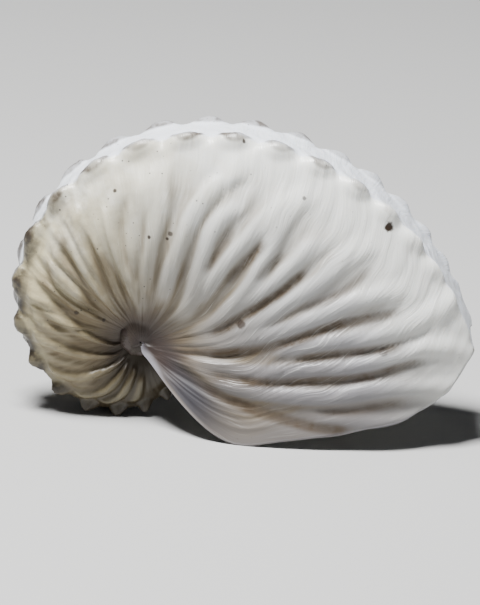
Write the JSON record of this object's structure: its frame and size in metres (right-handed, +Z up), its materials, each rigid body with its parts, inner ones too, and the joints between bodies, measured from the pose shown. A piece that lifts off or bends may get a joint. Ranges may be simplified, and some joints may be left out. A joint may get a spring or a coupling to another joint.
{
  "type": "paper nautilus shell",
  "caption": "Thin ribbed egg case of a paper nautilus, coiled flat, with two rows of blunt knobs on its keel and a wide open mouth.",
  "frame": {"origin": "middle of the bounding box's underside, on the ground that the shell stands on", "axes": "+X towards the mouth's keel end, +Y across the shell from one side wall to the other, +Z up"},
  "size_m": [0.0814, 0.0302, 0.0541],
  "materials": {
    "shell": "thin satin chalk wall, warm white, olive brown in the grooves and on the early whorl"
  },
  "bodies": {
    "root": {"shell": "shell"}
  },
  "joints": []
}
